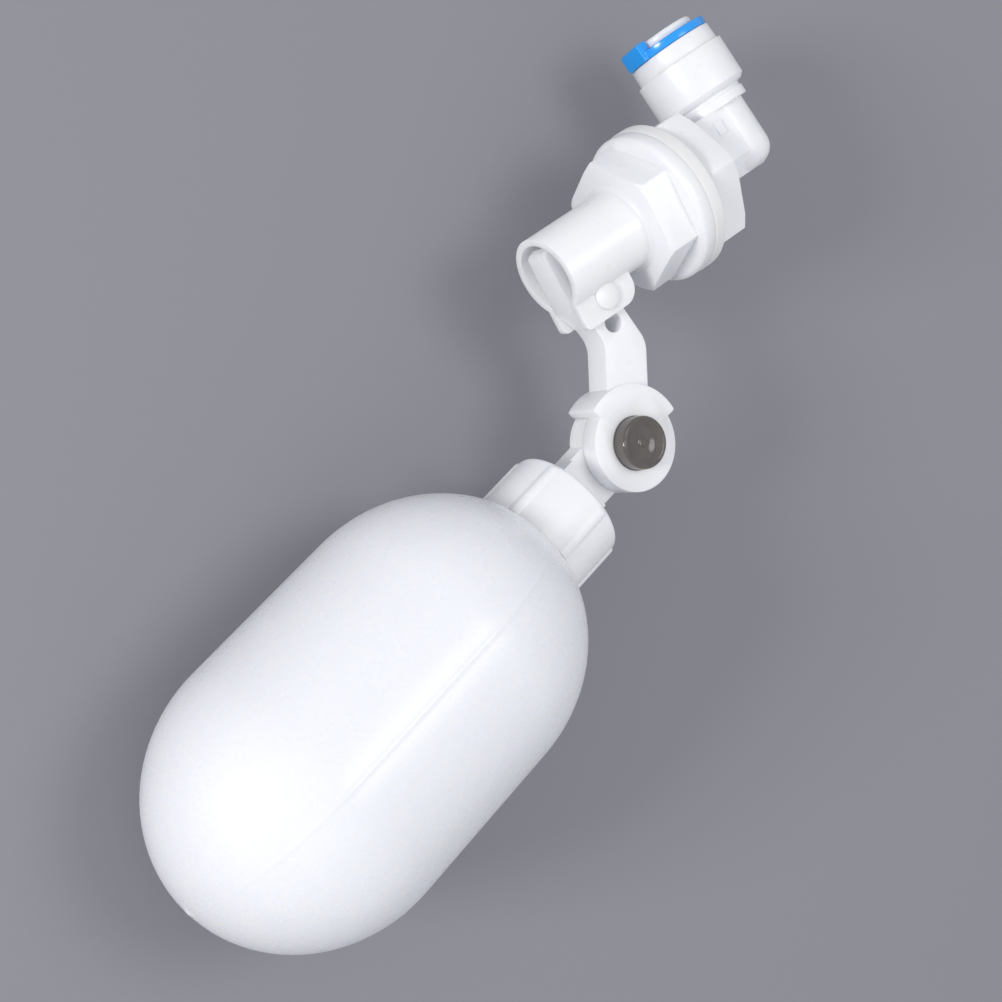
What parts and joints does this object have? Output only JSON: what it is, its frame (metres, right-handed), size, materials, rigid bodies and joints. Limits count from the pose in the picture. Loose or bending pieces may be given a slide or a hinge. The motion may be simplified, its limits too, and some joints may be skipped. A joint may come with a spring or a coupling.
{
  "type": "float valve",
  "caption": "White plastic float valve with a push-fit elbow, bulkhead flange and nut, a lever that pushes a plunger, and an oblong float on an adjustable joint.",
  "frame": {"origin": "on the valve body's axis, in the rear face of its flange, where the gasket seals against the tank wall", "axes": "+X along the body's axis towards the supply elbow; +Z along the lever's hinge axis; +Y away from the lever, on the side of the tube socket"},
  "size_m": [0.1336, 0.0772, 0.04],
  "materials": {
    "white_body": "satin",
    "float_white": "matt, blow-moulded",
    "soft_white": "matt silicone",
    "seal_rubber": "matt",
    "clip_blue": "gloss",
    "smoky_button": "gloss, translucent smoky brown",
    "spring_steel": "bright"
  },
  "bodies": {
    "valve": {"valve_body": "white_body", "wall_gasket": "soft_white", "pivot_pin": "white_body"},
    "nut": {"lock_nut": "white_body"},
    "plunger": {"plunger": "white_body", "plunger_seal": "seal_rubber"},
    "elbow": {"elbow_body": "white_body", "elbow_oring": "seal_rubber", "socket_cap": "white_body", "tube_oring": "seal_rubber", "oring_spacer": "white_body"},
    "collet": {"collet": "white_body", "grip_teeth": "spring_steel"},
    "clip": {"lock_clip": "clip_blue"},
    "lever": {"upper_arm": "white_body", "joint_spring": "spring_steel"},
    "button": {"joint_button": "smoky_button", "lock_gear": "white_body"},
    "float": {"float_arm": "white_body", "float_shell": "float_white", "float_seal": "soft_white"}
  },
  "joints": [
    {"name": "lever_pivot", "type": "hinge", "parent": "valve", "child": "lever", "pos_m": [-0.0168, -0.006, 0], "axis": [0, 0, 1], "range_deg": [-11, 25]},
    {"name": "plunger_slide", "type": "slide", "parent": "valve", "child": "plunger", "axis": [1, 0, 0], "range_m": [-0.0027, 0.0012]},
    {"name": "nut_turn", "type": "hinge", "parent": "valve", "child": "nut", "pos_m": [0.005, 0, 0], "axis": [1, 0, 0], "continuous": true},
    {"name": "elbow_swivel", "type": "hinge", "parent": "valve", "child": "elbow", "pos_m": [0.01, 0, 0], "axis": [1, 0, 0], "continuous": true},
    {"name": "collet_pull", "type": "slide", "parent": "elbow", "child": "collet", "axis": [0, 0.9781, -0.2079], "range_m": [0, 0.0006]},
    {"name": "clip_pull", "type": "slide", "parent": "elbow", "child": "clip", "axis": [-1, 0, 0], "range_m": [0, 0.014]},
    {"name": "float_tilt", "type": "hinge", "parent": "lever", "child": "float", "pos_m": [-0.0233, -0.0256, 0], "axis": [0, 0, 1], "range_deg": [-25, 100]},
    {"name": "button_press", "type": "slide", "parent": "lever", "child": "button", "axis": [0, 0, -1], "range_m": [0, 0.0012], "stiffness_N_per_m": 400, "deforming": ["joint_spring"]}
  ],
  "couplings": [
    {"joint": "plunger_slide", "follows": "lever_pivot", "m_per_rad": -0.00602}
  ]
}
